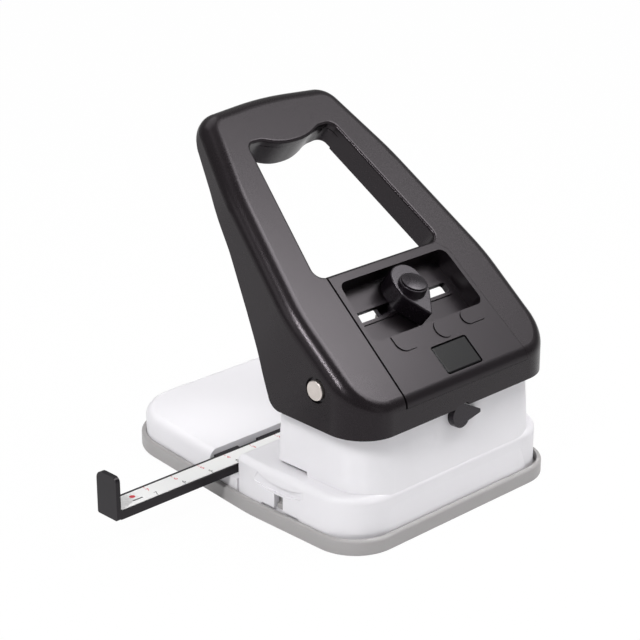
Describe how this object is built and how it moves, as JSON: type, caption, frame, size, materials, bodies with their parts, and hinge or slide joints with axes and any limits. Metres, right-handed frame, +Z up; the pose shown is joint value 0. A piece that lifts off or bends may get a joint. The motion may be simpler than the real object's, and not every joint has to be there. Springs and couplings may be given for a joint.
{
  "type": "card hole punch",
  "caption": "Hand lever punch for cards and badges: white body on a grey base cover, black lever handle with a sliding punch selector, pull-out ruler stop and side card slot.",
  "frame": {"origin": "middle of the base cover's underside, on the desk plane", "axes": "+Z up, +X to the right seen from the lever's low front end, +Y to the rear, where the card goes in and the grip rises"},
  "size_m": [0.1249, 0.108, 0.1056],
  "materials": {
    "cover": "satin light grey",
    "body": "satin white",
    "steel": "plated sheet",
    "tool_steel": "ground",
    "screw": "plated",
    "pin": "satin",
    "spring_steel": "bright wire",
    "spacer": "natural acetal",
    "handle": "fine-grained black",
    "black_part": "satin black",
    "badge": "glossy bare plate",
    "label": "printed white film"
  },
  "bodies": {
    "base": {"base_cover": "cover", "body_shell": "body", "die_plate": "steel", "card_stop": "steel", "punch_guide": "steel", "left_cheek": "steel", "right_cheek": "steel", "frame_screws": "screw", "cheek_screws": "screw", "body_screws": "screw", "pivot_pins": "pin", "pivot_clips": "spring_steel", "pivot_spacers": "spacer", "round_spring": "spring_steel", "slot_springs": "spring_steel", "corner_springs": "spring_steel", "ruler_guide": "black_part"},
    "handle": {"handle_shell": "handle", "handle_panel": "handle", "badge_plate": "badge", "grip_underside": "handle", "panel_screws": "screw", "pivot_bushes": "black_part", "selector_rail": "black_part", "rail_screws": "screw"},
    "selector": {"selector_carrier": "black_part", "press_foot": "spacer", "selector_head": "black_part", "button_collar": "black_part", "button_spring": "spring_steel"},
    "button": {"selector_button": "black_part"},
    "round_punch": {"round_punch": "tool_steel", "round_head": "tool_steel"},
    "slot_punch": {"slot_punch": "tool_steel", "slot_head": "tool_steel"},
    "corner_punch": {"corner_punch": "tool_steel", "corner_head": "tool_steel"},
    "ruler": {"ruler_bar": "black_part", "ruler_label": "label", "ruler_keeper": "spring_steel", "ruler_screw": "screw"},
    "lock": {"lock_knob": "black_part", "lock_hook": "steel"}
  },
  "joints": [
    {"name": "handle_press", "type": "hinge", "parent": "base", "child": "handle", "pos_m": [0, -0.0359, 0.045], "axis": [-1, 0, 0], "range_deg": [0, 24], "stiffness_Nm_per_rad": 0.6, "springref_deg": -51.57},
    {"name": "selector_slide", "type": "slide", "parent": "handle", "child": "selector", "axis": [1, 0, 0], "range_m": [-0.014, 0.014]},
    {"name": "button_press", "type": "slide", "parent": "selector", "child": "button", "axis": [0, 0.3907, -0.9205], "range_m": [0, 0.0008], "stiffness_N_per_m": 300, "springref_m": -0.001, "deforming": ["button_spring"]},
    {"name": "round_punch_slide", "type": "slide", "parent": "base", "child": "round_punch", "axis": [0, 0, -1], "range_m": [0, 0.0059], "deforming": ["round_spring"]},
    {"name": "slot_punch_slide", "type": "slide", "parent": "base", "child": "slot_punch", "axis": [0, 0, -1], "range_m": [0, 0.0058], "stiffness_N_per_m": 300, "springref_m": -0.004, "deforming": ["slot_springs"]},
    {"name": "corner_punch_slide", "type": "slide", "parent": "base", "child": "corner_punch", "axis": [0, 0, -1], "range_m": [0, 0.0058], "stiffness_N_per_m": 300, "springref_m": -0.004, "deforming": ["corner_springs"]},
    {"name": "ruler_slide", "type": "slide", "parent": "base", "child": "ruler", "axis": [-1, 0, 0], "range_m": [-0.033, 0.01]},
    {"name": "lock_turn", "type": "hinge", "parent": "base", "child": "lock", "pos_m": [-0.0004, -0.05087, 0.0305], "axis": [0, 0.9982, -0.0597], "range_deg": [0, 90]}
  ],
  "couplings": [
    {"joint": "round_punch_slide", "follows": "handle_press", "m_per_rad": 0.0138}
  ]
}
